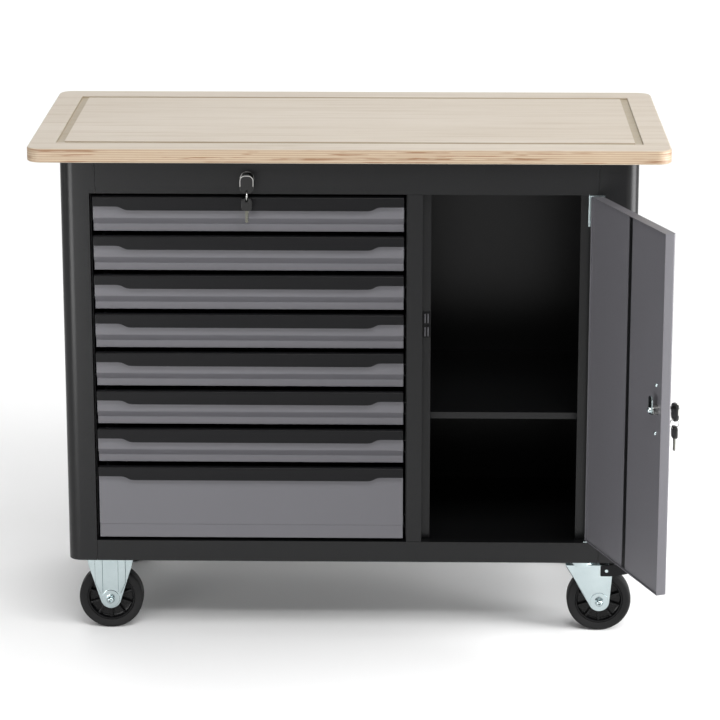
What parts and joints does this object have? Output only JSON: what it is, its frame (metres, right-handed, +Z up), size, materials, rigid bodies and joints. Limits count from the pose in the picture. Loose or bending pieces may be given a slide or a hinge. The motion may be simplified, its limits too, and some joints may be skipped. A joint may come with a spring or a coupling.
{
  "type": "mobile workbench with drawers and cupboard",
  "caption": "Mobile workshop bench: plywood top on a steel cabinet with a bank of drawers, a lockable cupboard door and fixed and swivel casters.",
  "frame": {"origin": "middle of the ground under the bench's box as it stands with its cupboard door open", "axes": "+X to the bench's right seen from the front, +Y from the front to the back, +Z up out of the worktop"},
  "size_m": [1.2052, 0.8784, 0.975],
  "materials": {
    "plywood": "sanded plywood with bare ply edges",
    "anthracite_paint": "satin powder coat",
    "grey_paint": "satin powder coat",
    "grip_plastic": "satin black",
    "zinc": "bright zinc plate",
    "chrome": "bright chrome",
    "key_plastic": "moulded black",
    "rim_plastic": "moulded black",
    "rubber": "dark solid rubber"
  },
  "bodies": {
    "cabinet": {"worktop": "plywood", "front_header": "anthracite_paint", "left_side_panel": "anthracite_paint", "right_side_panel": "anthracite_paint", "back_panel": "anthracite_paint", "base_pan": "anthracite_paint", "centre_divider": "anthracite_paint", "shelf": "anthracite_paint", "left_runner_rack": "anthracite_paint", "right_runner_rack": "anthracite_paint", "door_catch": "grip_plastic", "upper_hinge": "zinc", "lower_hinge": "zinc", "drawer_lock_housing": "chrome", "lock_bar_guide": "zinc", "fixed_caster_front_fork": "zinc", "fixed_caster_rear_fork": "zinc", "swivel_caster_front_plate": "zinc", "swivel_caster_rear_plate": "zinc"},
    "drawer_1": {"drawer_1": "grey_paint", "drawer_1_grip": "grip_plastic"},
    "drawer_2": {"drawer_2": "grey_paint", "drawer_2_grip": "grip_plastic"},
    "drawer_3": {"drawer_3": "grey_paint", "drawer_3_grip": "grip_plastic"},
    "drawer_4": {"drawer_4": "grey_paint", "drawer_4_grip": "grip_plastic"},
    "drawer_5": {"drawer_5": "grey_paint", "drawer_5_grip": "grip_plastic"},
    "drawer_6": {"drawer_6": "grey_paint", "drawer_6_grip": "grip_plastic"},
    "drawer_7": {"drawer_7": "grey_paint", "drawer_7_grip": "grip_plastic"},
    "drawer_8": {"drawer_8": "grey_paint", "drawer_8_grip": "grip_plastic"},
    "door": {"door_panel": "grey_paint", "door_inner_panel": "grey_paint", "door_lock_housing": "chrome"},
    "door_lock": {"door_lock_cam": "zinc", "door_key": "key_plastic"},
    "door_keys": {"door_key_ring": "chrome", "door_spare_key": "key_plastic"},
    "drawer_lock": {"drawer_lock_crank": "zinc", "drawer_key": "key_plastic"},
    "drawer_keys": {"drawer_key_ring": "chrome", "drawer_spare_key": "key_plastic"},
    "lock_bar": {"lock_bar": "zinc"},
    "fixed_front_wheel": {"fixed_caster_front_rim": "rim_plastic", "fixed_caster_front_tyre": "rubber"},
    "swivel_front_fork": {"swivel_caster_front_fork": "zinc"},
    "swivel_front_wheel": {"swivel_caster_front_rim": "rim_plastic", "swivel_caster_front_tyre": "rubber"},
    "swivel_front_brake": {"swivel_caster_front_brake": "grip_plastic"},
    "fixed_rear_wheel": {"fixed_caster_rear_rim": "rim_plastic", "fixed_caster_rear_tyre": "rubber"},
    "swivel_rear_fork": {"swivel_caster_rear_fork": "zinc"},
    "swivel_rear_wheel": {"swivel_caster_rear_rim": "rim_plastic", "swivel_caster_rear_tyre": "rubber"},
    "swivel_rear_brake": {"swivel_caster_rear_brake": "grip_plastic"}
  },
  "joints": [
    {"name": "drawer_1_slide", "type": "slide", "parent": "cabinet", "child": "drawer_1", "axis": [0, -1, 0], "range_m": [0, 0.4]},
    {"name": "drawer_2_slide", "type": "slide", "parent": "cabinet", "child": "drawer_2", "axis": [0, -1, 0], "range_m": [0, 0.4]},
    {"name": "drawer_3_slide", "type": "slide", "parent": "cabinet", "child": "drawer_3", "axis": [0, -1, 0], "range_m": [0, 0.4]},
    {"name": "drawer_4_slide", "type": "slide", "parent": "cabinet", "child": "drawer_4", "axis": [0, -1, 0], "range_m": [0, 0.4]},
    {"name": "drawer_5_slide", "type": "slide", "parent": "cabinet", "child": "drawer_5", "axis": [0, -1, 0], "range_m": [0, 0.4]},
    {"name": "drawer_6_slide", "type": "slide", "parent": "cabinet", "child": "drawer_6", "axis": [0, -1, 0], "range_m": [0, 0.4]},
    {"name": "drawer_7_slide", "type": "slide", "parent": "cabinet", "child": "drawer_7", "axis": [0, -1, 0], "range_m": [0, 0.4]},
    {"name": "drawer_8_slide", "type": "slide", "parent": "cabinet", "child": "drawer_8", "axis": [0, -1, 0], "range_m": [0, 0.4]},
    {"name": "door_hinge", "type": "hinge", "parent": "cabinet", "child": "door", "pos_m": [0.46688, -0.12582, 0.5425], "axis": [0, 0, 1], "range_deg": [-110, 10]},
    {"name": "door_lock_turn", "type": "hinge", "parent": "door", "child": "door_lock", "pos_m": [0.57452, -0.40696, 0.551], "axis": [0.9397, 0.342, 0], "range_deg": [0, 90]},
    {"name": "door_keys_hang", "type": "hinge", "parent": "door_lock", "child": "door_keys", "pos_m": [0.59332, -0.40012, 0.52993], "axis": [0.9397, 0.342, 0], "range_deg": [-90, 0]},
    {"name": "drawer_lock_turn", "type": "hinge", "parent": "cabinet", "child": "drawer_lock", "pos_m": [-0.19262, -0.13082, 0.915], "axis": [0, 1, 0], "range_deg": [0, 90]},
    {"name": "drawer_keys_hang", "type": "hinge", "parent": "drawer_lock", "child": "drawer_keys", "pos_m": [-0.19262, -0.15082, 0.89393], "axis": [0, 1, 0], "range_deg": [-90, 0]},
    {"name": "lock_bar_lift", "type": "slide", "parent": "cabinet", "child": "lock_bar", "axis": [0, 0, -1], "range_m": [0, 0.01131]},
    {"name": "fixed_front_wheel_spin", "type": "hinge", "parent": "cabinet", "child": "fixed_front_wheel", "pos_m": [-0.47062, -0.05282, 0.0625], "axis": [0, 1, 0], "continuous": true},
    {"name": "swivel_front_turn", "type": "hinge", "parent": "cabinet", "child": "swivel_front_fork", "pos_m": [0.44688, -0.05282, 0.15], "axis": [0, 0, 1], "continuous": true},
    {"name": "swivel_front_wheel_spin", "type": "hinge", "parent": "swivel_front_fork", "child": "swivel_front_wheel", "pos_m": [0.48388, -0.05282, 0.0625], "axis": [0, 1, 0], "continuous": true},
    {"name": "swivel_front_brake_press", "type": "hinge", "parent": "swivel_front_fork", "child": "swivel_front_brake", "pos_m": [0.49688, -0.05282, 0.127], "axis": [0, 1, 0], "range_deg": [0, 15]},
    {"name": "fixed_rear_wheel_spin", "type": "hinge", "parent": "cabinet", "child": "fixed_rear_wheel", "pos_m": [-0.47062, 0.33618, 0.0625], "axis": [0, 1, 0], "continuous": true},
    {"name": "swivel_rear_turn", "type": "hinge", "parent": "cabinet", "child": "swivel_rear_fork", "pos_m": [0.44688, 0.33618, 0.15], "axis": [0, 0, 1], "continuous": true},
    {"name": "swivel_rear_wheel_spin", "type": "hinge", "parent": "swivel_rear_fork", "child": "swivel_rear_wheel", "pos_m": [0.48388, 0.33618, 0.0625], "axis": [0, 1, 0], "continuous": true},
    {"name": "swivel_rear_brake_press", "type": "hinge", "parent": "swivel_rear_fork", "child": "swivel_rear_brake", "pos_m": [0.49688, 0.33618, 0.127], "axis": [0, 1, 0], "range_deg": [0, 15]}
  ],
  "couplings": [
    {"joint": "door_keys_hang", "follows": "door_lock_turn", "ratio": -1},
    {"joint": "drawer_keys_hang", "follows": "lock_bar_lift", "rad_per_m": -138.88},
    {"joint": "drawer_lock_turn", "follows": "lock_bar_lift", "rad_per_m": 138.88}
  ]
}
